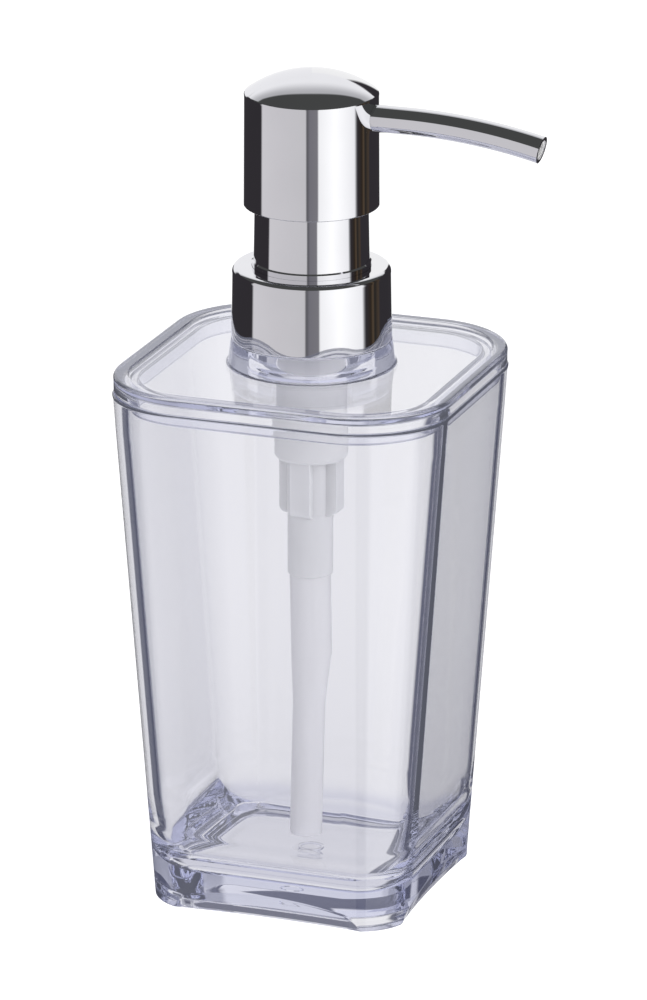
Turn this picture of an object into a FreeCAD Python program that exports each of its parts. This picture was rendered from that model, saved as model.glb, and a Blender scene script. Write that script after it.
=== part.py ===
import FreeCAD, Part
import Sketcher
import math
import os

# Soap pump dispenser, millimetres, +Z up.
# Origin: centre of the bottle's standing plane.  The pump axis is Z and the
# spout points along +X; the bottle's flat sides face -Y, +X, +Y and -X.

V = FreeCAD.Vector
doc = FreeCAD.newDocument("SoapDispenser")
sheet = doc.addObject("Spreadsheet::Sheet", "Dims")

DIMS = [
    # bottle: tapered square tumbler with rounded corners
    ("cup_top", 106.9), ("cup_half_low", 27.2), ("cup_half_top", 34.85),
    ("cup_corner_low", 10.9), ("cup_corner_top", 18.0), ("cup_wall", 2.6),
    ("floor_level", 6.6), ("floor_fillet", 8.8),
    ("scoop_half_length", 22.6), ("scoop_shoulder", 16.0), ("scoop_shoulder_rise", 2.9),
    ("scoop_crown_radius", 100.0), ("scoop_end_radius", 9.4), ("scoop_lean", 0.367),
    ("underside_margin", 5.2), ("underside_depth", 2.1),
    ("gate_radius", 2.6), ("gate_width", 0.5), ("gate_height", 0.5),
    # lid: slab, plug skirt, flared boss and threaded neck
    ("lid_half", 35.0), ("lid_corner", 19.4), ("lid_top", 110.6),
    ("lid_rim", 3.0), ("lid_recess", 0.5), ("plate_low", 108.1), ("skirt_low", 104.3),
    ("skirt_half", 31.7), ("skirt_corner", 15.0), ("skirt_wall", 1.6),
    ("boss_radius_low", 16.7), ("boss_radius_top", 16.1), ("boss_top", 115.2),
    ("neck_radius", 12.5), ("neck_bore", 7.9), ("neck_top", 124.5),
    # screw thread between the neck and the closure
    ("thread_pitch", 4.23), ("thread_depth", 1.1), ("thread_root_width", 2.1),
    ("thread_crest_width", 1.1), ("neck_thread_start", 118.6),
    ("neck_thread_rise", 4.6), ("insert_thread_rise", 6.3),
    ("thread_bite", 0.2), ("thread_clearance", 0.15),
    # closure: chrome shell, plastic thread insert, chrome guide sleeve
    ("shell_low", 115.3), ("shell_radius_low", 16.1), ("shell_radius_top", 15.85),
    ("shell_bore", 14.9), ("shell_top", 130.1), ("shell_roof", 0.95),
    ("shell_mouth", 11.95), ("shell_round", 1.2),
    ("insert_low", 115.4), ("insert_radius", 14.85), ("insert_bore", 13.75),
    ("insert_ceiling", 127.05), ("insert_top", 128.25), ("insert_mouth", 8.7),
    ("sleeve_bore", 10.6), ("sleeve_low", 128.3), ("sleeve_flange_radius", 13.3),
    ("sleeve_flange_top", 129.1), ("sleeve_lip_radius", 11.9),
    ("sleeve_lip_top", 131.1), ("sleeve_radius_low", 11.6), ("sleeve_top_radius", 11.35), ("sleeve_top", 145.0),
    # pump body: gasket, housing, guide bush, ball cage, dip tube, spring
    ("gasket_thick", 1.0), ("gasket_bore", 8.1), ("gasket_radius", 11.9),
    ("flange_radius", 12.0), ("flange_top", 127.0), ("barrel_radius", 7.1),
    ("barrel_bore", 6.0), ("barrel_low", 90.8), ("ribs_radius", 5.8),
    ("ribs_low", 78.8), ("ribs_thick", 4.2), ("core_radius", 4.65),
    ("spring_seat", 92.5), ("chamber_bore", 3.6), ("seat_hole", 1.5),
    ("seat_apex", 80.0), ("socket_stop", 78.6), ("socket_radius", 4.5),
    ("socket_bore", 4.1), ("socket_low", 65.9),
    ("bush_bore", 3.45), ("bush_spigot_radius", 5.97), ("bush_low", 121.95),
    ("bush_flange_radius", 8.2), ("bush_flange_top", 128.3),
    ("bush_hub_radius", 5.5), ("bush_top", 130.5),
    ("cage_radius", 3.58), ("cage_bore", 2.8), ("cage_low", 87.1),
    ("cage_top", 91.5), ("cage_bar", 1.0),
    ("tube_radius_top", 4.1), ("tube_radius_low", 3.3), ("tube_bore_top", 3.2),
    ("tube_bore_low", 2.4), ("tube_taper_top", 49.0), ("tube_taper_low", 38.0),
    ("tube_low", 9.0), ("tube_shift_neck", 0.3), ("tube_shift_taper", -0.2), ("tube_shift_low", -0.95),
    ("spring_mean_radius", 4.9), ("spring_wire_radius", 0.4), ("spring_turns", 6.0),
    # plunger: seal, stems, valve balls, head, spout
    ("seal_bore", 3.45), ("seal_lip", 5.97), ("seal_waist", 5.2),
    ("seal_low", 113.65), ("seal_top", 120.05),
    ("stem_radius", 3.4), ("stem_bore", 2.0), ("stem_low", 113.7),
    ("stem_stop_radius", 5.0), ("stem_stop_low", 120.2), ("stem_stop_top", 121.8),
    ("stem_top", 158.5), ("stem_seat_hole", 1.3),
    ("foot_flange_radius", 5.5), ("foot_flange_low", 112.5), ("foot_flange_top", 113.5),
    ("foot_spigot_radius", 1.98), ("foot_spigot_top", 119.0), ("foot_bore", 1.2),
    ("foot_pilot_radius", 4.2), ("foot_pilot_low", 110.5),
    ("ball_radius", 2.2), ("ball_clearance", 0.02),
    ("head_low", 142.6), ("head_radius_low", 13.55), ("head_radius_top", 13.4),
    ("head_edge", 165.5), ("head_top", 169.9), ("head_wall", 1.2), ("head_round", 0.55),
    ("hub_low", 150.0), ("hub_radius", 5.5), ("hub_bore", 3.42),
    ("disc_low", 158.0), ("disc_radius", 12.0), ("disc_shoulder", 163.2),
    ("disc_top", 165.0), ("disc_top_radius", 9.0),
    ("outlet_bore", 2.7), ("outlet_top", 163.6),
    ("spout_axis", 161.4), ("spout_radius", 2.75), ("spout_bore", 2.0),
    ("spout_start", 4.5), ("spout_bend_start", 20.0), ("spout_bend_radius", 120.0),
    ("spout_bend_angle", 13.4), ("liner_bore", 1.4), ("liner_setback", 0.3),
]


class Q:
    """A length with its number and the sheet expression that gives it."""

    def __init__(self, value, text):
        self.value = float(value)
        self.text = text

    def _with(self, other, sign, value):
        return Q(value, "(%s %s %s)" % (self.text, sign, other.text))

    def __add__(self, other):
        other = quantity(other)
        return self._with(other, "+", self.value + other.value)

    def __sub__(self, other):
        other = quantity(other)
        return self._with(other, "-", self.value - other.value)

    def __mul__(self, other):
        other = quantity(other)
        return self._with(other, "*", self.value * other.value)

    def __truediv__(self, other):
        other = quantity(other)
        return self._with(other, "/", self.value / other.value)

    def __rsub__(self, other):
        return quantity(other) - self

    def __neg__(self):
        return Q(-self.value, "(0 - %s)" % self.text)

    __radd__ = __add__
    __rmul__ = __mul__


def quantity(value):
    return value if isinstance(value, Q) else Q(value, repr(float(value)))


class D:
    pass


for row, (alias, number) in enumerate(DIMS, 1):
    sheet.set("A%d" % row, alias)
    sheet.set("B%d" % row, repr(number))
    sheet.setAlias("B%d" % row, alias)
    setattr(D, alias, Q(number, "Dims." + alias))
doc.recompute()

NODES = []


def new_body(label):
    body = doc.addObject("PartDesign::Body", label)
    body.Label = label
    body.Placement = FreeCAD.Placement()
    NODES.append(body)
    return body


def origin_feature(body, role):
    return [f for f in body.Origin.OriginFeatures if f.Role == role][0]


def new_sketch(body, name, role, offset=None):
    sk = body.newObject("Sketcher::SketchObject", body.Label + "_" + name)
    sk.AttachmentSupport = [(origin_feature(body, role), "")]
    sk.MapMode = "FlatFace"
    if offset is not None:
        offset = quantity(offset)
        sk.AttachmentOffset = FreeCAD.Placement(V(0, 0, offset.value), FreeCAD.Rotation())
        sk.setExpression("AttachmentOffset.Base.z", offset.text)
    return sk


def pin_point(sk, geo, pos, x, y):
    """Hold one sketch point at (x, y) from the sketch's origin."""
    for kind, q, axis in (("DistanceX", x, -2), ("DistanceY", y, -1)):
        if q.value == 0.0:
            sk.addConstraint(Sketcher.Constraint("PointOnObject", geo, pos, axis))
        else:
            k = sk.addConstraint(Sketcher.Constraint(kind, -1, 1, geo, pos, q.value))
            sk.setExpression("Constraints[%d]" % k, q.text)


def outline(sk, points, arcs=None, closed=True):
    """Closed or open chain of lines and minor arcs through the given points.

    arcs maps an edge's index to (radius, side): side +1 puts the centre left
    of the edge's direction, -1 right of it.
    """
    arcs = arcs or {}
    pts = [(quantity(x), quantity(y)) for x, y in points]
    n = len(pts)
    count = n if closed else n - 1
    first = sk.GeometryCount
    ends = []
    for i in range(count):
        a = V(pts[i][0].value, pts[i][1].value, 0)
        b = V(pts[(i + 1) % n][0].value, pts[(i + 1) % n][1].value, 0)
        if i in arcs:
            radius, side = arcs[i]
            r = quantity(radius).value
            chord = b - a
            left = V(-chord.y, chord.x, 0).normalize()
            rise = math.sqrt(max(r * r - (chord.Length / 2) ** 2, 0.0))
            centre = (a + b) * 0.5 + left * (rise * side)
            start, stop = (a, b) if side > 0 else (b, a)
            a0 = math.atan2(start.y - centre.y, start.x - centre.x)
            a1 = math.atan2(stop.y - centre.y, stop.x - centre.x)
            if a1 < a0:
                a1 += 2 * math.pi
            sk.addGeometry(Part.ArcOfCircle(Part.Circle(centre, V(0, 0, 1), r), a0, a1), False)
            ends.append((1, 2) if side > 0 else (2, 1))
        else:
            sk.addGeometry(Part.LineSegment(a, b), False)
            ends.append((1, 2))
    for i in range(count if closed else count - 1):
        j = (i + 1) % count
        sk.addConstraint(Sketcher.Constraint("Coincident", first + i, ends[i][1], first + j, ends[j][0]))
    for i in range(count):
        pin_point(sk, first + i, ends[i][0], pts[i][0], pts[i][1])
    if not closed:
        pin_point(sk, first + count - 1, ends[-1][1], pts[-1][0], pts[-1][1])
    for i, (radius, side) in arcs.items():
        radius = quantity(radius)
        k = sk.addConstraint(Sketcher.Constraint("Radius", first + i, radius.value))
        sk.setExpression("Constraints[%d]" % k, radius.text)


def ring(sk, x, y, *radii):
    x, y = quantity(x), quantity(y)
    for radius in radii:
        radius = quantity(radius)
        g = sk.addGeometry(Part.Circle(V(x.value, y.value, 0), V(0, 0, 1), radius.value), False)
        pin_point(sk, g, 3, x, y)
        k = sk.addConstraint(Sketcher.Constraint("Radius", g, radius.value))
        sk.setExpression("Constraints[%d]" % k, radius.text)


def rounded_square(sk, half, corner):
    k = half - corner
    outline(sk, [(half, -k), (half, k), (k, half), (-k, half),
                 (-half, k), (-half, -k), (-k, -half), (k, -half)],
            {1: (corner, 1), 3: (corner, 1), 5: (corner, 1), 7: (corner, 1)})


def revolve(body, name, points, arcs=None, kind="PartDesign::Revolution"):
    sk = new_sketch(body, name + "_profile", "XZ_Plane")
    outline(sk, points, arcs)
    f = body.newObject(kind, body.Label + "_" + name)
    f.Profile = sk
    f.ReferenceAxis = (sk, ["V_Axis"])
    f.Angle = 360.0
    doc.recompute()
    return f


def loft(body, name, sections, kind="PartDesign::AdditiveLoft"):
    f = body.newObject(kind, body.Label + "_" + name)
    f.Profile = sections[0]
    f.Sections = sections[1:]
    f.Ruled = True
    doc.recompute()
    return f


def pad(body, name, sk, length, kind="PartDesign::Pad", reverse=False):
    length = quantity(length)
    f = body.newObject(kind, body.Label + "_" + name)
    f.Profile = sk
    f.Length = length.value
    f.setExpression("Length", length.text)
    f.Reversed = reverse
    doc.recompute()
    return f


def cut(body, name, sk, length, reverse=False):
    """Pocket that must take material away."""
    before = body.Shape.Volume
    f = pad(body, name, sk, length, "PartDesign::Pocket", reverse)
    if not body.Shape.Volume < before - 1e-3:
        raise RuntimeError("%s_%s cuts nothing" % (body.Label, name))
    return f


def polar(body, name, originals, count):
    f = body.newObject("PartDesign::PolarPattern", body.Label + "_" + name)
    f.Originals = originals
    f.Axis = (origin_feature(body, "Z_Axis"), [""])
    f.Angle = 360.0
    f.Occurrences = count
    body.Tip = f
    doc.recompute()
    return f


def fillet(body, name, radius, test):
    """Fillet the edges of the tip that the test picks by their geometry."""
    base = body.Tip
    names = ["Edge%d" % (i + 1) for i, e in enumerate(base.Shape.Edges)
             if not e.Degenerated and test(e)]
    if not names:
        raise RuntimeError("%s_%s finds no edge" % (body.Label, name))
    radius = quantity(radius)
    f = body.newObject("PartDesign::Fillet", body.Label + "_" + name)
    f.Base = (base, names)
    f.Radius = radius.value
    f.setExpression("Radius", radius.text)
    doc.recompute()
    return f


def circle_at(radius, level, slack=0.02):
    """Test for a full circle about Z with this radius and height."""
    radius, level = quantity(radius).value, quantity(level).value

    def test(e):
        c = e.Curve
        return (isinstance(c, Part.Circle) and abs(c.Radius - radius) < slack
                and abs(c.Center.z - level) < slack
                and abs(c.Center.x) < slack and abs(c.Center.y) < slack)
    return test


def flat_at(level, inside=None, outside=None):
    """Test for edges that lie flat at one height, by their distance from Z."""
    level = quantity(level).value

    def test(e):
        box = e.BoundBox
        if abs(box.ZMin - level) > 0.01 or abs(box.ZMax - level) > 0.01:
            return False
        p = e.valueAt((e.FirstParameter + e.LastParameter) / 2)
        far = max(abs(p.x), abs(p.y), math.hypot(p.x, p.y) / 1.28)
        return (inside is None or far < inside) and (outside is None or far > outside)
    return test


# ---------------------------------------------------------------- bottle shell
d = D
cup = new_body("bottle_shell")
s_low = new_sketch(cup, "foot_outline", "XY_Plane")
rounded_square(s_low, d.cup_half_low, d.cup_corner_low)
s_top = new_sketch(cup, "rim_outline", "XY_Plane", d.cup_top)
rounded_square(s_top, d.cup_half_top, d.cup_corner_top)
loft(cup, "outside", [s_low, s_top])


def half_at(level):
    return d.cup_half_low + (d.cup_half_top - d.cup_half_low) * level / d.cup_top


def corner_at(level):
    return d.cup_corner_low + (d.cup_corner_top - d.cup_corner_low) * level / d.cup_top


mouth = d.cup_top + 1.0
c_low = new_sketch(cup, "floor_outline", "XY_Plane", d.floor_level)
rounded_square(c_low, half_at(d.floor_level) - d.cup_wall, corner_at(d.floor_level) - d.cup_wall)
c_top = new_sketch(cup, "mouth_outline", "XY_Plane", mouth)
rounded_square(c_top, half_at(mouth) - d.cup_wall, corner_at(mouth) - d.cup_wall)
loft(cup, "cavity", [c_low, c_top], "PartDesign::SubtractiveLoft")
fillet(cup, "floor_round", d.floor_fillet, flat_at(d.floor_level))

# shallow recess under the base, inside a rim that the bottle stands on
s_under = new_sketch(cup, "underside_outline", "XY_Plane")
rounded_square(s_under, d.cup_half_low - d.underside_margin, d.cup_corner_low - d.underside_margin + 2.0)
cut(cup, "underside", s_under, d.underside_depth, reverse=True)
s_gate = new_sketch(cup, "gate_outline", "XY_Plane", d.underside_depth - d.gate_height)
ring(s_gate, 0, 0, d.gate_radius)
ring(s_gate, 0, 0, d.gate_radius - d.gate_width)
pad(cup, "gate", s_gate, d.gate_height + 0.2)

# each side's lower edge is scooped: a flat arch that leans inwards to the base
s_scoop = new_sketch(cup, "scoop_outline", "XZ_Plane", d.cup_half_low)
outline(s_scoop, [(d.scoop_half_length, 0), (d.scoop_shoulder, d.scoop_shoulder_rise),
                  (-d.scoop_shoulder, d.scoop_shoulder_rise), (-d.scoop_half_length, 0),
                  (-d.scoop_half_length, -3), (d.scoop_half_length, -3)],
        {0: (d.scoop_end_radius, 1), 1: (d.scoop_crown_radius, 1), 2: (d.scoop_end_radius, 1)})
before = cup.Shape.Volume
scoop = cup.newObject("PartDesign::Pocket", "bottle_shell_scoop")
scoop.Profile = s_scoop
scoop.UseCustomVector = True
scoop.Direction = V(0, d.scoop_lean.value, -1)
scoop.AlongSketchNormal = False
scoop.SideType = "Symmetric"
scoop.Length = 24.0
doc.recompute()
if not cup.Shape.Volume < before - 1.0:
    raise RuntimeError("the scoop cuts nothing")
polar(cup, "scoops", [scoop], 4)
fillet(cup, "rim_round", 0.5, flat_at(d.cup_top))


# ------------------------------------------------------------------- lid cover
def thread(body, name, root, crest, start, rise):
    """Right-hand trapezoidal thread rising from start; root and crest radii."""
    sk = new_sketch(body, name + "_profile", "XZ_Plane")
    low, high = start - d.thread_root_width / 2, start + d.thread_root_width / 2
    tip_low, tip_high = start - d.thread_crest_width / 2, start + d.thread_crest_width / 2
    outline(sk, [(root, low), (crest, tip_low), (crest, tip_high), (root, high)])
    before = body.Shape.Volume
    f = body.newObject("PartDesign::AdditiveHelix", body.Label + "_" + name)
    f.Profile = sk
    f.ReferenceAxis = (sk, ["V_Axis"])
    f.Mode = 0
    f.Pitch = d.thread_pitch.value
    f.setExpression("Pitch", d.thread_pitch.text)
    f.Height = rise.value
    f.setExpression("Height", rise.text)
    f.LeftHanded = False
    f.Reversed = False
    doc.recompute()
    if not body.Shape.Volume > before + 1.0:
        raise RuntimeError("%s_%s adds nothing" % (body.Label, name))
    return f


lid = new_body("lid_cover")
s_slab = new_sketch(lid, "slab_outline", "XY_Plane", d.cup_top)
rounded_square(s_slab, d.lid_half, d.lid_corner)
pad(lid, "slab", s_slab, d.lid_top - d.cup_top)
s_plate = new_sketch(lid, "plate_outline", "XY_Plane", d.lid_top)
rounded_square(s_plate, d.lid_half - d.lid_rim, d.lid_corner - d.lid_rim)
cut(lid, "plate", s_plate, d.lid_recess)
s_skirt = new_sketch(lid, "skirt_outline", "XY_Plane", d.skirt_low)
rounded_square(s_skirt, d.skirt_half, d.skirt_corner)
rounded_square(s_skirt, d.skirt_half - d.skirt_wall, d.skirt_corner - d.skirt_wall)
pad(lid, "skirt", s_skirt, d.cup_top - d.skirt_low)
s_hollow = new_sketch(lid, "hollow_outline", "XY_Plane", d.cup_top)
rounded_square(s_hollow, d.skirt_half - d.skirt_wall, d.skirt_corner - d.skirt_wall)
cut(lid, "hollow", s_hollow, d.plate_low - d.cup_top, reverse=True)
fillet(lid, "edge_round", 0.8, flat_at(d.lid_top, outside=(d.lid_half - d.lid_rim / 2).value))
fillet(lid, "lip_round", 0.6, flat_at(d.cup_top, outside=(d.lid_half - 0.6).value))
revolve(lid, "boss", [(d.neck_bore, d.plate_low), (d.boss_radius_low, d.plate_low),
                      (d.boss_radius_low, d.lid_top), (d.boss_radius_top, d.boss_top),
                      (d.neck_radius, d.boss_top), (d.neck_radius, d.neck_top),
                      (d.neck_bore, d.neck_top)])
s_bore = new_sketch(lid, "bore_outline", "XY_Plane", d.neck_top)
ring(s_bore, 0, 0, d.neck_bore)
cut(lid, "bore", s_bore, 30)
thread(lid, "neck_thread", d.neck_radius - d.thread_bite, d.neck_radius + d.thread_depth,
       d.neck_thread_start, d.neck_thread_rise)

# --------------------------------------------------------------------- closure
shell = new_body("collar_shell")
revolve(shell, "shell", [(d.shell_bore, d.shell_low), (d.shell_radius_low, d.shell_low),
                         (d.shell_radius_top, d.shell_top), (d.shell_mouth, d.shell_top),
                         (d.shell_mouth, d.shell_top - d.shell_roof),
                         (d.shell_bore, d.shell_top - d.shell_roof)])
fillet(shell, "shoulder", d.shell_round, circle_at(d.shell_radius_top, d.shell_top))
fillet(shell, "lower_edge", 0.3, circle_at(d.shell_radius_low, d.shell_low))

insert = new_body("collar_insert")
revolve(insert, "cup", [(d.insert_bore, d.insert_low), (d.insert_radius, d.insert_low),
                        (d.insert_radius, d.insert_top), (d.insert_mouth, d.insert_top),
                        (d.insert_mouth, d.insert_ceiling), (d.insert_bore, d.insert_ceiling)])
thread(insert, "thread", d.insert_bore + d.thread_bite,
       d.neck_radius + d.thread_clearance,
       d.neck_thread_start - d.thread_pitch / 2, d.insert_thread_rise)

sleeve = new_body("guide_sleeve")
revolve(sleeve, "sleeve", [(d.sleeve_bore, d.sleeve_low), (d.sleeve_flange_radius, d.sleeve_low),
                           (d.sleeve_flange_radius, d.sleeve_flange_top),
                           (d.sleeve_lip_radius, d.sleeve_flange_top),
                           (d.sleeve_lip_radius, d.sleeve_lip_top),
                           (d.sleeve_radius_low, d.sleeve_lip_top + 0.3),
                           (d.sleeve_top_radius, d.sleeve_top), (d.sleeve_bore, d.sleeve_top)])
fillet(sleeve, "top_round", 0.3, circle_at(d.sleeve_top_radius, d.sleeve_top))

# ------------------------------------------------------------------- pump body
gasket = new_body("neck_gasket")
revolve(gasket, "ring", [(d.gasket_bore, d.neck_top), (d.gasket_radius, d.neck_top),
                         (d.gasket_radius, d.neck_top + d.gasket_thick),
                         (d.gasket_bore, d.neck_top + d.gasket_thick)])

housing = new_body("pump_housing")
cone_top = d.seat_apex + d.chamber_bore
cone_low = d.seat_apex + d.seat_hole
revolve(housing, "barrel", [
    (d.socket_bore, d.socket_low), (d.socket_radius, d.socket_low),
    (d.socket_radius, d.ribs_low), (d.core_radius, d.ribs_low + 0.6),
    (d.core_radius, d.barrel_low), (d.barrel_radius - 0.5, d.barrel_low),
    (d.barrel_radius, d.barrel_low + 0.7),
    (d.barrel_radius, d.neck_top + d.gasket_thick),
    (d.flange_radius, d.neck_top + d.gasket_thick), (d.flange_radius, d.flange_top),
    (d.barrel_bore, d.flange_top), (d.barrel_bore, d.spring_seat),
    (d.chamber_bore, d.spring_seat), (d.chamber_bore, cone_top),
    (d.seat_hole, cone_low), (d.seat_hole, d.socket_stop), (d.socket_bore, d.socket_stop)])
s_rib = new_sketch(housing, "rib_outline", "XZ_Plane")
rib_in, rib_out = d.core_radius - 0.6, d.ribs_radius
outline(s_rib, [(rib_in, d.ribs_low), (rib_out - 1.4, d.ribs_low), (rib_out, d.ribs_low + 1.4),
                (rib_out, d.barrel_low + 0.3), (rib_in, d.barrel_low + 0.3)], {1: (1.4, 1)})
rib = housing.newObject("PartDesign::Pad", "pump_housing_rib")
rib.Profile = s_rib
rib.SideType = "Symmetric"
rib.Length = d.ribs_thick.value
rib.setExpression("Length", d.ribs_thick.text)
doc.recompute()
polar(housing, "ribs", [rib], 4)
fillet(housing, "socket_round", 0.25, circle_at(d.socket_radius, d.socket_low))

bush = new_body("guide_bush")
revolve(bush, "bush", [(d.bush_bore, d.bush_low), (d.bush_spigot_radius, d.bush_low),
                       (d.bush_spigot_radius, d.flange_top), (d.bush_flange_radius, d.flange_top),
                       (d.bush_flange_radius, d.bush_flange_top),
                       (d.bush_hub_radius, d.bush_flange_top),
                       (d.bush_hub_radius, d.bush_top), (d.bush_bore, d.bush_top)])

cage = new_body("ball_cage")
revolve(cage, "ring", [(d.cage_bore, d.cage_low), (d.cage_radius, d.cage_low),
                       (d.cage_radius, d.cage_top), (d.cage_bore, d.cage_top)])
s_bar = new_sketch(cage, "bar_outline", "XY_Plane", d.cage_low)
reach = d.cage_bore + 0.3
outline(s_bar, [(-reach, -d.cage_bar / 2), (reach, -d.cage_bar / 2),
                (reach, d.cage_bar / 2), (-reach, d.cage_bar / 2)])
bar = pad(cage, "bar", s_bar, d.cage_bar)
polar(cage, "bars", [bar], 4)

tube = new_body("dip_tube")
levels = [("top", d.socket_stop - 0.1, 0, d.tube_radius_top, d.tube_bore_top),
          ("mouth", d.socket_low - 0.5, 0, d.tube_radius_top, d.tube_bore_top),
          ("neck", d.tube_taper_top, d.tube_shift_neck, d.tube_radius_top, d.tube_bore_top),
          ("waist", d.tube_taper_low, d.tube_shift_taper, d.tube_radius_low, d.tube_bore_low),
          ("end", d.tube_low, d.tube_shift_low, d.tube_radius_low, d.tube_bore_low)]
for a, b in zip(levels, levels[1:]):
    pair = []
    for tag, (name, level, shift, outer, inner) in (("from", a), ("to", b)):
        sk = new_sketch(tube, "%s_%s" % (tag, name), "XY_Plane", level)
        ring(sk, shift, 0, outer)
        pair.append(sk)
    loft(tube, "wall_" + b[0], pair)
for a, b in zip(levels, levels[1:]):
    pair = []
    for tag, (name, level, shift, outer, inner) in (("bore_from", a), ("bore_to", b)):
        sk = new_sketch(tube, "%s_%s" % (tag, name), "XY_Plane", level)
        ring(sk, shift, 0, inner)
        pair.append(sk)
    loft(tube, "bore_" + b[0], pair, "PartDesign::SubtractiveLoft")

# compression spring: a twelve-sided wire section of the round wire's area, wound up
# from the seat to the plunger's foot
spring_low = d.spring_seat + d.spring_wire_radius + 0.05
spring_high = d.foot_flange_low - d.spring_wire_radius - 0.1
spring = new_body("return_spring")
wire = new_sketch(spring, "wire_section", "XZ_Plane")
SIDES = 12
reach = math.sqrt(2 * math.pi / (SIDES * math.sin(2 * math.pi / SIDES)))
section = []
for i in range(SIDES):
    turn = 2 * math.pi * (i + 0.5) / SIDES
    section.append((d.spring_mean_radius + d.spring_wire_radius * (reach * math.cos(turn)),
                    spring_low + d.spring_wire_radius * (reach * math.sin(turn))))
outline(wire, section)
coil = spring.newObject("PartDesign::AdditiveHelix", "return_spring_coil")
coil.Profile = wire
coil.ReferenceAxis = (wire, ["V_Axis"])
coil.Mode = 0
coil.Pitch = ((spring_high - spring_low) / d.spring_turns).value
coil.setExpression("Pitch", ((spring_high - spring_low) / d.spring_turns).text)
coil.Height = (spring_high - spring_low).value
coil.setExpression("Height", (spring_high - spring_low).text)
coil.LeftHanded = False
coil.Reversed = False
doc.recompute()

# --------------------------------------------------------------------- plunger
seal = new_body("piston_seal")
revolve(seal, "cup", [
    (d.seal_bore, d.seal_low), (d.seal_lip - 0.37, d.seal_low), (d.seal_lip, d.seal_low + 0.4),
    (d.seal_lip, d.seal_low + 1.4), (d.seal_waist, d.seal_low + 2.2),
    (d.seal_waist, d.seal_top - 2.2), (d.seal_lip, d.seal_top - 1.4),
    (d.seal_lip, d.seal_top - 0.4), (d.seal_lip - 0.37, d.seal_top), (d.seal_bore, d.seal_top)])

foot = new_body("lower_stem")
revolve(foot, "foot", [
    (d.foot_bore, d.foot_pilot_low), (d.foot_pilot_radius, d.foot_pilot_low),
    (d.foot_pilot_radius, d.foot_flange_low), (d.foot_flange_radius, d.foot_flange_low),
    (d.foot_flange_radius, d.foot_flange_top), (d.foot_spigot_radius, d.foot_flange_top),
    (d.foot_spigot_radius, d.foot_spigot_top), (d.foot_bore, d.foot_spigot_top)])

stem = new_body("upper_stem")
seat_drop = d.stem_bore - d.stem_seat_hole
revolve(stem, "stem", [
    (d.stem_bore, d.stem_low), (d.stem_radius, d.stem_low), (d.stem_radius, d.stem_stop_low),
    (d.stem_stop_radius, d.stem_stop_low), (d.stem_stop_radius, d.stem_stop_top),
    (d.stem_radius, d.stem_stop_top), (d.stem_radius, d.stem_top),
    (d.stem_bore, d.stem_top), (d.stem_seat_hole, d.stem_top - seat_drop),
    (d.stem_seat_hole, d.stem_top - seat_drop - 0.9), (d.stem_bore, d.stem_top - seat_drop - 1.6)])


def ball(label, apex):
    """Ball resting on a 45 degree seat whose cone comes to a point at apex."""
    body = new_body(label)
    centre = apex + d.ball_radius * math.sqrt(2) + d.ball_clearance
    revolve(body, "sphere", [(0, centre - d.ball_radius), (d.ball_radius, centre),
                             (0, centre + d.ball_radius)],
            {0: (d.ball_radius, 1), 1: (d.ball_radius, 1)})
    return body


ball("inlet_ball", d.seat_apex)
ball("outlet_ball", d.stem_top - d.stem_bore)

core = new_body("head_core")
revolve(core, "core", [
    (d.hub_bore, d.hub_low), (d.hub_radius, d.hub_low), (d.hub_radius, d.disc_low),
    (d.disc_radius, d.disc_low), (d.disc_radius, d.disc_shoulder),
    (d.disc_top_radius, d.disc_top), (0, d.disc_top), (0, d.outlet_top),
    (d.outlet_bore, d.outlet_top), (d.outlet_bore, d.stem_top), (d.hub_bore, d.stem_top)])
s_socket = new_sketch(core, "socket_outline", "YZ_Plane", d.spout_start)
ring(s_socket, 0, d.spout_axis, d.spout_radius)
cut(core, "spout_socket", s_socket, 12, reverse=True)
s_channel = new_sketch(core, "channel_outline", "YZ_Plane")
ring(s_channel, 0, d.spout_axis, d.spout_bore)
cut(core, "channel", s_channel, d.spout_start + 0.5, reverse=True)

head = new_body("head_shell")
sag = d.head_top - d.head_edge
inner_top, inner_edge = d.head_top - d.head_wall, d.head_edge - 1.0
inner_radius = d.head_radius_top - d.head_wall
inner_sag = inner_top - inner_edge
dome = (d.head_radius_top * d.head_radius_top + sag * sag) / (sag * 2)
inner_dome = (inner_radius * inner_radius + inner_sag * inner_sag) / (inner_sag * 2)
revolve(head, "shell", [
    (d.head_radius_low - d.head_wall, d.head_low), (d.head_radius_low, d.head_low),
    (d.head_radius_top, d.head_edge), (0, d.head_top), (0, inner_top),
    (inner_radius, inner_edge)],
    {2: (dome, 1), 4: (inner_dome, -1)})
s_exit = new_sketch(head, "spout_exit_outline", "YZ_Plane")
ring(s_exit, 0, d.spout_axis, d.spout_radius + 0.03)
cut(head, "spout_exit", s_exit, 20, reverse=True)
fillet(head, "edge_round", d.head_round, circle_at(d.head_radius_top, d.head_edge))
fillet(head, "rim_round", 0.25, circle_at(d.head_radius_low, d.head_low))


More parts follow.
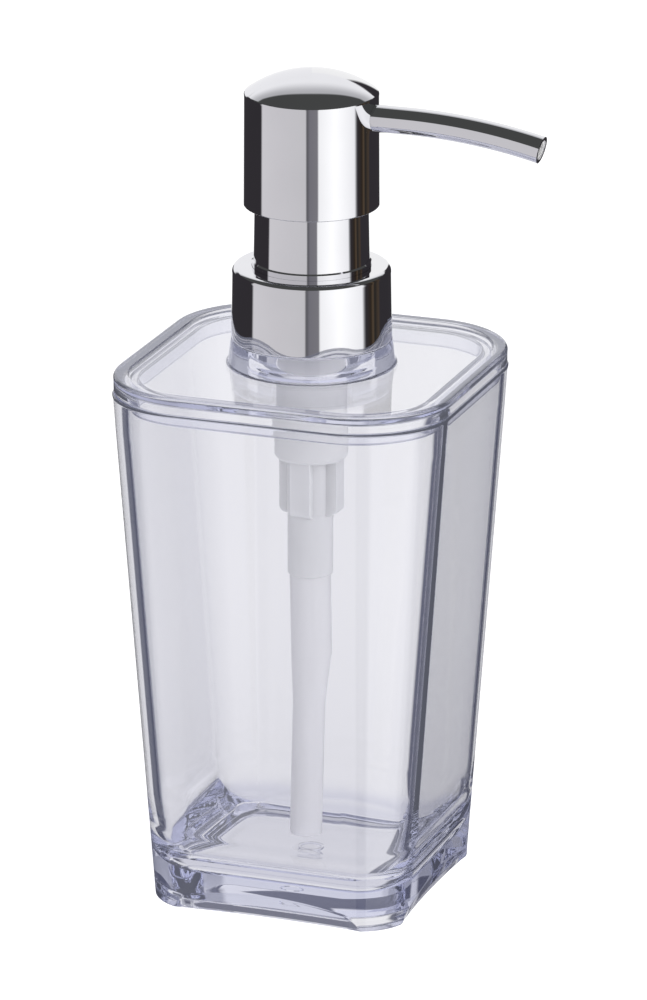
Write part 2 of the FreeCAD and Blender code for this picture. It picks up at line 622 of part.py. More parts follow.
def bent_tube(label, outer, inner, setback):
    """Tube along the spout's line: straight out of the head, then a long arc down."""
    body = new_body(label)
    spine = new_sketch(body, "line", "XZ_Plane")
    a = d.spout_bend_angle - setback / d.spout_bend_radius * (180 / math.pi)
    end = V(d.spout_bend_start.value + d.spout_bend_radius.value * math.sin(math.radians(a.value)),
            d.spout_axis.value - d.spout_bend_radius.value * (1 - math.cos(math.radians(a.value))), 0)
    end_x = Q(end.x, "(%s + %s * sin(%s * 1deg))" % (d.spout_bend_start.text, d.spout_bend_radius.text, a.text))
    end_z = Q(end.y, "(%s - %s * (1 - cos(%s * 1deg)))" % (d.spout_axis.text, d.spout_bend_radius.text, a.text))
    outline(spine, [(d.spout_start, d.spout_axis), (d.spout_bend_start, d.spout_axis),
                    (end_x, end_z)], {1: (d.spout_bend_radius, -1)}, closed=False)
    section = new_sketch(body, "section", "YZ_Plane", d.spout_start)
    ring(section, 0, d.spout_axis, outer, inner)
    f = body.newObject("PartDesign::AdditivePipe", label + "_tube")
    f.Profile = section
    f.Spine = (spine, ["Edge1", "Edge2"])
    doc.recompute()
    return body


spout = bent_tube("spout_tube", d.spout_radius, d.spout_bore, Q(0, "0"))
bent_tube("spout_liner", d.spout_bore - 0.02, d.liner_bore, d.liner_setback)

# ----------------------------------------------------------- checks and export
doc.recompute()
bad = [o.Name for o in doc.Objects if "Invalid" in o.State or "Error" in o.State]
if bad:
    raise RuntimeError("failed objects: " + ", ".join(bad))
os.makedirs("parts", exist_ok=True)
for node in NODES:
    shape = node.Shape
    if shape.isNull() or not shape.isValid() or not shape.Solids:
        raise RuntimeError(node.Label + " has no valid shape")
for node in NODES:
    node.Shape.exportStep("parts/%s.step" % node.Label)
    print("%-14s %8.1f mm3  %d solid  %s" % (node.Label, node.Shape.Volume, len(node.Shape.Solids),
                                             [round(v, 2) for v in (node.Shape.BoundBox.XMin, node.Shape.BoundBox.XMax, node.Shape.BoundBox.YMin, node.Shape.BoundBox.YMax, node.Shape.BoundBox.ZMin, node.Shape.BoundBox.ZMax)]))
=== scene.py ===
import math

import bmesh
import bpy
from mathutils import Matrix, Vector, noise


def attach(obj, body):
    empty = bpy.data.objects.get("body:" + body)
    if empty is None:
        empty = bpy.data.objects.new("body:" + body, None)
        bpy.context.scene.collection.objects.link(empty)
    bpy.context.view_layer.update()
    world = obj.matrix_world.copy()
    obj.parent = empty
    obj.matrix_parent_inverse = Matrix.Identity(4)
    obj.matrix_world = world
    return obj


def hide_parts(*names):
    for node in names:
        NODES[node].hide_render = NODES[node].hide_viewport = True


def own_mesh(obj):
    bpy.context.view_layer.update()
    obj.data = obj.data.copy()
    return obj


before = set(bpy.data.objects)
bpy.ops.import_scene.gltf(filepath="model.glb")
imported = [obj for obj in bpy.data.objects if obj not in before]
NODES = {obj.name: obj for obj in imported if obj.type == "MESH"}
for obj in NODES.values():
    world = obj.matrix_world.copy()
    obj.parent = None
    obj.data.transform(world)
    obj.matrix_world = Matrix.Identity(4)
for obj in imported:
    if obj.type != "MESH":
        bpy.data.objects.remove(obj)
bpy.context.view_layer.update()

MM = 0.001
scene = bpy.context.scene

# ------------------------------------------------------------------ studio axes
AZ, EL, ROLL = math.radians(20.018), math.radians(18.408), 0.0
TO_CAMERA = Vector((math.sin(AZ), -math.cos(AZ), 0.0))      # level direction to the camera
TO_RIGHT = Vector((math.cos(AZ), math.sin(AZ), 0.0))
BACK = Vector((math.sin(AZ) * math.cos(EL), -math.cos(AZ) * math.cos(EL), math.sin(EL)))
UP = BACK.cross(TO_RIGHT).normalized()


def make_camera():
    data = bpy.data.cameras.new("camera")
    data.sensor_fit = "AUTO"
    data.sensor_width = 36.0
    data.lens = 6921.85 * 36.0 / 1000.0
    data.clip_start, data.clip_end = 0.05, 20.0
    cam = bpy.data.objects.new("camera", data)
    scene.collection.objects.link(cam)
    right = TO_RIGHT * math.cos(ROLL) + UP * math.sin(ROLL)
    up = UP * math.cos(ROLL) - TO_RIGHT * math.sin(ROLL)
    place = (TO_RIGHT * 2.35 + UP * 76.588 + BACK * 1416.65) * MM
    m = Matrix((right, up, BACK)).transposed().to_4x4()
    m.translation = place
    cam.matrix_world = m
    scene.camera = cam
    return cam


make_camera()
scene.view_settings.view_transform = "Standard"
scene.view_settings.look = "None"
scene.cycles.transmission_bounces = 24
scene.cycles.transparent_max_bounces = 24
scene.cycles.max_bounces = 28
scene.cycles.glossy_bounces = 12
scene.cycles.sample_clamp_indirect = 8.0


# ------------------------------------------------------------------ node helper
class Tree:
    """Short calls for building a node tree."""

    def __init__(self, tree):
        self.t = tree
        self.n = tree.nodes
        self.l = tree.links

    def node(self, kind, **props):
        n = self.n.new(kind)
        for k, v in props.items():
            setattr(n, k, v)
        return n

    def put(self, socket, value):
        if isinstance(value, bpy.types.NodeSocket):
            self.l.new(value, socket)
        elif isinstance(value, (tuple, list)) and len(value) == 3 and socket.type == "RGBA":
            socket.default_value = (*value, 1.0)
        else:
            socket.default_value = value

    def math(self, op, a, b=0.0, clamp=False):
        n = self.node("ShaderNodeMath", operation=op, use_clamp=clamp)
        self.put(n.inputs[0], a)
        self.put(n.inputs[1], b)
        return n.outputs[0]

    def dot(self, a, b):
        n = self.node("ShaderNodeVectorMath", operation="DOT_PRODUCT")
        self.put(n.inputs[0], a)
        self.put(n.inputs[1], tuple(b))
        return n.outputs["Value"]

    def ramp(self, fac, stops, interpolation="LINEAR"):
        n = self.node("ShaderNodeValToRGB")
        n.color_ramp.interpolation = interpolation
        els = n.color_ramp.elements
        while len(els) > 1:
            els.remove(els[0])
        els[0].position, els[0].color = stops[0][0], (*stops[0][1], 1.0)
        for pos, col in stops[1:]:
            e = els.new(pos)
            e.color = (*col, 1.0)
        self.put(n.inputs[0], fac)
        return n.outputs[0]

    def span(self, value, lo, hi):
        n = self.node("ShaderNodeMapRange", interpolation_type="SMOOTHSTEP")
        self.put(n.inputs["Value"], value)
        n.inputs["From Min"].default_value = lo
        n.inputs["From Max"].default_value = hi
        return n.outputs["Result"]

    def mix(self, fac, a, b):
        n = self.node("ShaderNodeMix", data_type="RGBA")
        self.put(n.inputs[0], fac)
        self.put(n.inputs[6], a)
        self.put(n.inputs[7], b)
        return n.outputs[2]

    def noise(self, scale, detail=2.0, rough=0.5, vector=None):
        n = self.node("ShaderNodeTexNoise")
        n.inputs["Scale"].default_value = scale
        n.inputs["Detail"].default_value = detail
        n.inputs["Roughness"].default_value = rough
        if vector is not None:
            self.put(n.inputs["Vector"], vector)
        return n.outputs["Fac"]


# ----------------------------------------------------------------------- studio
def grey(v):
    return (v, v, v)


def make_world():
    world = bpy.data.worlds.new("studio")
    scene.world = world
    world.use_nodes = True
    world.node_tree.nodes.clear()
    t = Tree(world.node_tree)
    d = t.node("ShaderNodeTexCoord").outputs["Generated"]
    c = t.dot(d, TO_CAMERA)
    s = t.dot(d, TO_RIGHT)
    z = t.dot(d, (0, 0, 1))
    az = t.math("ARCTAN2", s, c)
    az01 = t.math("ADD", t.math("DIVIDE", az, 2 * math.pi), 0.5)

    def at(deg):
        return deg / 360.0 + 0.5

    dark = (0.034, 0.031, 0.036)
    white = (1.0, 1.0, 1.0)
    panels = t.ramp(az01, [
        (0.0, white), (at(-167), white), (at(-165), dark), (at(-95), dark),
        (at(-92), (0.71, 0.695, 0.72)), (at(-50), (0.67, 0.655, 0.68)), (at(-10), (0.64, 0.63, 0.65)),
        (at(-8), (0.10, 0.10, 0.11)), (at(-3), (0.20, 0.195, 0.22)), (at(10), (0.225, 0.22, 0.24)),
        (at(12), (1.05, 1.05, 1.06)), (at(40), (1.25, 1.25, 1.25)), (at(78), (1.0, 1.0, 1.02)),
        (at(81), (0.30, 0.30, 0.31)), (at(84), dark), (at(95), (0.03, 0.022, 0.016)), (at(99), (0.10, 0.07, 0.045)),
        (at(103), (0.02, 0.02, 0.02)), (at(112), (0.07, 0.05, 0.035)), (at(116), dark),
        (at(165), dark), (at(167), white), (1.0, white)])
    through = t.ramp(az01, [
        (0.0, (0.865, 0.86, 0.875)), (at(-147), (0.84, 0.84, 0.87)), (at(-143), (0.075, 0.080, 0.125)),
        (at(-100), (0.07, 0.075, 0.12)), (at(-95), (0.46, 0.46, 0.50)), (at(-13), (0.42, 0.42, 0.46)),
        (at(-10), (0.16, 0.165, 0.21)), (at(7), (0.18, 0.185, 0.23)), (at(10), (0.85, 0.85, 0.88)),
        (at(78), (0.84, 0.84, 0.88)), (at(84), (0.09, 0.095, 0.14)), (at(120), (0.065, 0.07, 0.115)),
        (at(163), (0.075, 0.080, 0.125)), (at(167), (0.865, 0.86, 0.875)), (1.0, (0.865, 0.86, 0.875))])
    # above the panels it is dark in front of the zenith and white behind it
    aside = t.math("ABSOLUTE", s)
    behind = t.math("ADD", t.math("ADD", c, t.math("MULTIPLY", z, 0.45)), t.math("MULTIPLY", t.math("MULTIPLY", aside, aside), 1.25))
    bright = t.mix(t.span(behind, -0.03, -0.42), (0.50, 0.50, 0.52), (0.96, 0.96, 0.98))
    top = t.mix(t.span(behind, 0.03, -0.03), (0.065, 0.067, 0.066), bright)
    col = t.mix(t.span(z, 0.37, 0.42), panels, top)
    left_back = t.math("MULTIPLY", t.span(z, 0.0, 0.04), t.span(c, -0.75, -0.85))
    left_back = t.math("MULTIPLY", left_back, t.math("LESS_THAN", s, 0.0))
    col = t.mix(left_back, col, (0.95, 0.95, 0.97))
    col = t.mix(t.span(z, -0.72, -0.92), col, (0.80, 0.80, 0.84))
    path = t.node("ShaderNodeLightPath")
    # light seen through the clear plastic: softer, and never fully dark
    sky = t.mix(t.span(behind, 0.05, -0.05), (0.30, 0.31, 0.38), (0.84, 0.84, 0.88))
    through = t.mix(t.math("MULTIPLY", t.span(z, -0.05, 0.20), 0.55), through, (0.66, 0.67, 0.74))
    through = t.mix(t.span(z, 0.35, 0.42), through, sky)
    through = t.mix(t.span(z, -0.60, -0.80), through, (0.72, 0.72, 0.78))
    far = t.math("MULTIPLY", t.span(c, -0.45, -0.65), t.math("MULTIPLY", t.span(z, -0.15, -0.12), t.span(z, 0.0, -0.03)))
    through = t.mix(far, through, (0.125, 0.13, 0.185))
    # paths that wander long through thick plastic come out pale violet
    long_way = t.math("MULTIPLY", t.span(path.outputs["Ray Depth"], 5.0, 10.0), 0.8)
    through = t.mix(long_way, through, (0.60, 0.61, 0.75))
    col = t.mix(path.outputs["Is Transmission Ray"], col, through)
    soft = t.ramp(t.math("ADD", t.math("MULTIPLY", s, 0.5), 0.5),
                  [(0.0, (0.42, 0.42, 0.44)), (0.45, (0.55, 0.55, 0.57)), (0.8, (0.95, 0.95, 0.96)), (1.0, (0.8, 0.8, 0.8))])
    col = t.mix(path.outputs["Is Diffuse Ray"], col, soft)
    col = t.mix(path.outputs["Is Camera Ray"], col, (1.0, 1.0, 1.0))
    bg = t.node("ShaderNodeBackground")
    t.put(bg.inputs["Color"], col)
    bg.inputs["Strength"].default_value = 1.0
    out = t.node("ShaderNodeOutputWorld")
    t.l.new(bg.outputs[0], out.inputs[0])


make_world()


def make_floor():
    bm = bmesh.new()
    bmesh.ops.create_grid(bm, x_segments=2, y_segments=2, size=6.0)
    me = bpy.data.meshes.new("floor")
    bm.to_mesh(me)
    bm.free()
    floor = bpy.data.objects.new("floor", me)
    scene.collection.objects.link(floor)
    mat = bpy.data.materials.new("floor")
    mat.use_nodes = True
    p = mat.node_tree.nodes["Principled BSDF"]
    p.inputs["Base Color"].default_value = (0.93, 0.93, 0.93, 1)
    p.inputs["Roughness"].default_value = 0.9
    p.inputs["Specular IOR Level"].default_value = 0.1
    p.inputs["Emission Color"].default_value = (1.0, 1.0, 1.0, 1)
    p.inputs["Emission Strength"].default_value = 0.42
    me.materials.append(mat)
    floor.visible_glossy = False
    floor.visible_transmission = False
    return floor


make_floor()


def area_light(name, where, size, power, look=(0, 0, 0.09)):
    data = bpy.data.lights.new(name, "AREA")
    data.shape = "RECTANGLE"
    data.size, data.size_y = size
    data.energy = power
    ob = bpy.data.objects.new(name, data)
    scene.collection.objects.link(ob)
    ob.location = where
    ob.rotation_euler = (Vector(look) - Vector(where)).to_track_quat("-Z", "Y").to_euler()
    ob.visible_glossy = False
    ob.visible_transmission = False
    ob.visible_camera = False
    return ob


area_light("key_right", TO_CAMERA * 0.55 + TO_RIGHT * 0.75 + Vector((0, 0, 0.55)), (0.6, 0.9), 7.0)
area_light("fill_left", TO_CAMERA * 0.45 - TO_RIGHT * 0.85 + Vector((0, 0, 0.40)), (0.6, 0.9), 4.0)


# -------------------------------------------------------------------- materials
def new_material(name):
    mat = bpy.data.materials.new(name)
    mat.use_nodes = True
    mat.node_tree.nodes.clear()
    t = Tree(mat.node_tree)
    out = t.node("ShaderNodeOutputMaterial")
    p = t.node("ShaderNodeBsdfPrincipled")
    coord = t.node("ShaderNodeTexCoord").outputs["Object"]
    return mat, t, p, out, coord


def bump(t, height, strength, distance):
    n = t.node("ShaderNodeBump")
    n.inputs["Strength"].default_value = strength
    n.inputs["Distance"].default_value = distance
    t.put(n.inputs["Height"], height)
    return n.outputs[0]


def chrome(name, base=(0.83, 0.83, 0.85)):
    """Bright plated plastic: mirror with a trace of moulding ripple and fine wiping marks."""
    mat, t, p, out, co = new_material(name)
    haze = t.noise(90.0, 3.0, 0.5, co)
    col = t.ramp(haze, [(0.3, tuple(v * 0.965 for v in base)), (0.7, base)])
    t.put(p.inputs["Base Color"], col)
    p.inputs["Metallic"].default_value = 1.0
    t.put(p.inputs["Roughness"], t.math("ADD", t.math("MULTIPLY", t.noise(300.0, 2.0, 0.6, co), 0.03), 0.012))
    t.put(p.inputs["Normal"], bump(t, t.noise(55.0, 1.0, 0.4, co), 0.02, 0.0004))
    t.l.new(p.outputs[0], out.inputs[0])
    return mat


def clear_plastic(name, tint=(0.985, 0.985, 0.995), density=7.0, painted_foot_shade=False):
    """Polished clear polystyrene with the faint violet cast that thick sections show, plus a faint painted violet
    glow, and, when asked, painted shade greying the foot.
    """
    mat, t, p, out, co = new_material(name)
    flow = t.noise(14.0, 2.0, 0.45, co)
    col = t.ramp(flow, [(0.3, tuple(v * 0.992 for v in tint)), (0.7, tint)])
    if painted_foot_shade:
        # painted shade: the plastic is greyed towards the foot, and most on the flat floor inside
        level = t.dot(co, (0, 0, 1))
        col = t.mix(t.span(level, 0.060, 0.010), col, (0.93, 0.93, 0.945))
        flat = t.math("ABSOLUTE", t.dot(t.node("ShaderNodeNewGeometry").outputs["Normal"], (0, 0, 1)))
        # painted shade colour for the flat floor inside the cup
        col = t.mix(t.math("MULTIPLY", t.span(level, 0.012, 0.008), t.span(flat, 0.93, 0.99)), col, (0.80, 0.80, 0.83))
    t.put(p.inputs["Base Color"], col)
    p.inputs["Transmission Weight"].default_value = 1.0
    p.inputs["IOR"].default_value = 1.59
    p.inputs["Roughness"].default_value = 0.0
    # painted glow: a faint violet emission, though the plastic gives off no light
    p.inputs["Emission Color"].default_value = (0.78, 0.82, 1.0, 1)
    p.inputs["Emission Strength"].default_value = 0.010
    vol = t.node("ShaderNodeVolumeAbsorption")
    vol.inputs["Color"].default_value = (0.72, 0.74, 0.89, 1)
    vol.inputs["Density"].default_value = density
    clear = t.node("ShaderNodeBsdfTransparent")
    clear.inputs["Color"].default_value = (0.93, 0.93, 0.95, 1)
    path = t.node("ShaderNodeLightPath")
    inner = t.node("ShaderNodeMixShader")
    t.put(inner.inputs[0], path.outputs["Is Diffuse Ray"])
    t.l.new(p.outputs[0], inner.inputs[1])
    t.l.new(clear.outputs[0], inner.inputs[2])
    mix = t.node("ShaderNodeMixShader")
    t.put(mix.inputs[0], path.outputs["Is Shadow Ray"])
    t.l.new(inner.outputs[0], mix.inputs[1])
    t.l.new(clear.outputs[0], mix.inputs[2])
    t.l.new(mix.outputs[0], out.inputs[0])
    t.l.new(vol.outputs[0], out.inputs["Volume"])
    return mat


def moulded_pp(name, base=(0.545, 0.545, 0.545), grain=0.10):
    """Natural white polypropylene: satin, slightly see-through, with a fine moulded grain."""
    mat, t, p, out, co = new_material(name)
    cloud = t.noise(70.0, 3.0, 0.55, co)
    t.put(p.inputs["Base Color"], t.ramp(cloud, [(0.3, tuple(v * 0.955 for v in base)), (0.7, base)]))
    t.put(p.inputs["Roughness"], t.math("ADD", t.math("MULTIPLY", t.noise(420.0, 2.0, 0.6, co), 0.14), 0.30))
    p.inputs["IOR"].default_value = 1.49
    p.inputs["Subsurface Weight"].default_value = 0.35
    p.inputs["Subsurface Radius"].default_value = (1.0, 1.0, 1.0)
    p.inputs["Subsurface Scale"].default_value = 0.0015
    t.put(p.inputs["Normal"], bump(t, t.noise(1400.0, 2.0, 0.5, co), grain, 0.00004))
    t.l.new(p.outputs[0], out.inputs[0])
    return mat


def milky_pe(name):
    """Extruded polyethylene tube: milky and half see-through, with faint draw lines along it."""
    mat, t, p, out, co = new_material(name)
    stretch = t.node("ShaderNodeMapping")
    stretch.inputs["Scale"].default_value = (900.0, 900.0, 12.0)
    t.put(stretch.inputs["Vector"], co)
    lines = t.noise(1.0, 2.0, 0.5, stretch.outputs[0])
    t.put(p.inputs["Base Color"], t.ramp(lines, [(0.3, (0.90, 0.895, 0.89)), (0.7, (0.94, 0.935, 0.93))]))
    p.inputs["Transmission Weight"].default_value = 0.45
    p.inputs["IOR"].default_value = 1.45
    t.put(p.inputs["Roughness"], t.math("ADD", t.math("MULTIPLY", lines, 0.12), 0.26))
    t.put(p.inputs["Normal"], bump(t, lines, 0.06, 0.00003))
    t.l.new(p.outputs[0], out.inputs[0])
    return mat


def steel(name, base=(0.60, 0.61, 0.63), rough=0.18):
    """Drawn or ground stainless steel with fine marks."""
    mat, t, p, out, co = new_material(name)
    marks = t.noise(650.0, 3.0, 0.6, co)
    t.put(p.inputs["Base Color"], t.ramp(marks, [(0.3, tuple(v * 0.9 for v in base)), (0.7, base)]))
    p.inputs["Metallic"].default_value = 1.0
    t.put(p.inputs["Roughness"], t.math("ADD", t.math("MULTIPLY", marks, 0.12), rough - 0.06))
    t.put(p.inputs["Normal"], bump(t, marks, 0.08, 0.00003))
    t.l.new(p.outputs[0], out.inputs[0])
    return mat


def soft_pe(name):
    """Soft white seal material, matt and very finely pebbled."""
    mat, t, p, out, co = new_material(name)
    cloud = t.noise(140.0, 3.0, 0.6, co)
    t.put(p.inputs["Base Color"], t.ramp(cloud, [(0.3, (0.77, 0.77, 0.75)), (0.7, (0.84, 0.84, 0.82))]))
    t.put(p.inputs["Roughness"], t.math("ADD", t.math("MULTIPLY", cloud, 0.15), 0.50))
    t.put(p.inputs["Normal"], bump(t, t.noise(2200.0, 1.0, 0.5, co), 0.15, 0.00004))
    t.l.new(p.outputs[0], out.inputs[0])
    return mat


CHROME = chrome("chrome_plating")
# the bottle's plastic carries painted shade at its foot
CLEAR = clear_plastic("clear_styrene", density=13.0, painted_foot_shade=True)
CLEAR_LID = clear_plastic("clear_styrene_lid", density=9.0)
PP = moulded_pp("white_polypropylene")
PE = milky_pe("milky_polyethylene")
SEAL = soft_pe("seal_polyethylene")
WIRE = steel("spring_wire")
BALL = steel("ball_steel", (0.68, 0.69, 0.71), 0.10)

FINISH = {
    "bottle_shell": CLEAR, "lid_cover": CLEAR_LID,
    "collar_shell": CHROME, "guide_sleeve": CHROME, "head_shell": CHROME, "spout_tube": CHROME,
    "collar_insert": PP, "pump_housing": PP, "guide_bush": PP, "ball_cage": PP,
    "lower_stem": PP, "upper_stem": PP, "head_core": PP,
    "dip_tube": PE, "spout_liner": PE, "neck_gasket": SEAL, "piston_seal": SEAL,
    "return_spring": WIRE, "inlet_ball": BALL, "outlet_ball": BALL,
}
for node, mat in FINISH.items():
    data = NODES[node].data
    for i in range(len(data.materials)):
        data.materials[i] = mat


# ------------------------------------------------- fine surfaces, millimetres in
FLAT, BEND = 30, 30                       # steps along a side and round a corner
COLUMNS = 4 * (FLAT + BEND)


def square_point(column, half, corner):
    """Point of a rounded square, with its side's tangent and outward directions."""
    side, step = divmod(column, FLAT + BEND)
    reach = half - corner
    turn = side * math.pi / 2
    tangent = (math.cos(turn), math.sin(turn))
    outward = (math.sin(turn), -math.cos(turn))
    if step < FLAT:
        along, away = reach * (2.0 * step / FLAT - 1.0), half
    else:
        a = (step - FLAT) / BEND * math.pi / 2
        along, away = reach + corner * math.sin(a), reach + corner * math.cos(a)
    return along, away, tangent, outward


def square_ring(half, corner, z):
    out = []
    for i in range(COLUMNS):
        along, away, t, o = square_point(i, half, corner)
        out.append((t[0] * along + o[0] * away, t[1] * along + o[1] * away, z))
    return out


def round_ring(radius, z, like_half=35.0, like_corner=19.4):
    """Circle whose points keep the bearings of a rounded square's."""
    out = []
    for x, y, _ in square_ring(like_half, like_corner, 0.0):
        r = math.hypot(x, y)
        k = (radius(math.atan2(y, x)) if callable(radius) else radius) / r
        out.append((x * k, y * k, z))
    return out


def ring_mesh(name, rings, sharp=(), closed=False, capped=False):
    """Surface through rings of equal count; sharp names the rings kept as edges."""
    bm = bmesh.new()
    rows = []
    for ring in rings:
        rows.append([bm.verts.new((x * MM, y * MM, z * MM)) for x, y, z in ring])
    n = len(rows[0])
    spans = [(i, i + 1) for i in range(len(rows) - 1)]
    if closed:
        spans.append((len(rows) - 1, 0))
    for a, b in spans:
        for i in range(n):
            j = (i + 1) % n
            bm.faces.new((rows[a][i], rows[a][j], rows[b][j], rows[b][i]))
    if capped:
        for row in (rows[0], rows[-1]):
            mid = Vector((0, 0, 0))
            for v in row:
                mid += v.co
            centre = bm.verts.new(mid / n)
            for i in range(n):
                bm.faces.new((row[i], centre, row[(i + 1) % n]))
    for f in bm.faces:
        f.smooth = True
    for r in sharp:
        only = None
        if isinstance(r, tuple):
            r, only = r
        for i in range(n):
            if only is not None and not only[i]:
                continue
            e = bm.edges.get((rows[r][i], rows[r][(i + 1) % n]))
            if e:
                e.smooth = False
    bmesh.ops.recalc_face_normals(bm, faces=bm.faces)
    me = bpy.data.meshes.new(name)
    bm.to_mesh(me)
    bm.free()
    if me_volume(me) < 0:
        me.flip_normals()
    ob = bpy.data.objects.new(name, me)
    scene.collection.objects.link(ob)
    return ob


def me_volume(me):
    total = 0.0
    co = [v.co for v in me.vertices]
    for p in me.polygons:
        a = co[p.vertices[0]]
        for k in range(1, len(p.vertices) - 1):
            total += a.dot(co[p.vertices[k]].cross(co[p.vertices[k + 1]])) / 6.0
    return total


def arc(h0, z0, radius, start, stop, steps):
    """(offset, height) along an arc about (h0, z0), angles in degrees from outward."""
    out = []
    for i in range(steps + 1):
        a = math.radians(start + (stop - start) * i / steps)
        out.append((h0 + radius * math.cos(a), z0 + radius * math.sin(a)))
    return out


# ---- bottle: tapering cup with scooped lower edges
CUP_TOP, HALF_LOW, HALF_TOP = 106.9, 27.2, 34.85
CORNER_LOW, CORNER_TOP, WALL = 10.9, 18.0, 2.6
FLOOR, FLOOR_ROUND = 6.6, 8.8
SLOPE = (HALF_TOP - HALF_LOW) / CUP_TOP
LEAN = 0.367


def half_at(z):
    return HALF_LOW + SLOPE * z


def corner_at(z):
    return CORNER_LOW + (CORNER_TOP - CORNER_LOW) * z / CUP_TOP


def arch(x):
    """Height of the scoop's outline above the base, along a side."""
    x = abs(x)
    end, shoulder, rise, crown, tip = 22.6, 16.0, 2.9, 100.0, 9.4
    if x >= end:
        return 0.0
    if x <= shoulder:
        low = math.sqrt(crown ** 2 - shoulder ** 2)
        return rise + math.sqrt(crown ** 2 - x ** 2) - low
    # arc of the tip radius through (shoulder, rise) and (end, 0), bulging upwards
    mx, mz = (shoulder + end) / 2, rise / 2
    dx, dz = end - shoulder, -rise
    span = math.hypot(dx, dz)
    off = math.sqrt(tip ** 2 - (span / 2) ** 2)
    cx, cz = mx + dz / span * off, mz - dx / span * off
    return cz + math.sqrt(tip ** 2 - (x - cx) ** 2)


def cup_outside(column, z):
    """Outer point of a column at a height, pulled in where the scoops cut the sides."""
    along, away, t, o = square_point(column, half_at(z), corner_at(z))
    # the scoops of this side and of the next one round
    away = min(away, HALF_LOW - LEAN * (arch(along) - z) if abs(along) < 22.6 else away)
    along = min(along, HALF_LOW - LEAN * (arch(away) - z) if abs(away) < 22.6 else along)
    return (t[0] * along + o[0] * away, t[1] * along + o[1] * away, z)


def scoop_height(column):
    along, away, t, o = square_point(column, half_at(0), corner_at(0))
    if column % (FLAT + BEND) >= FLAT and away < along:
        along, away = away, along
    if abs(along) >= 22.6:
        return 0.0
    return max(0.0, (LEAN * arch(along) - (HALF_LOW - away)) / (LEAN - SLOPE))


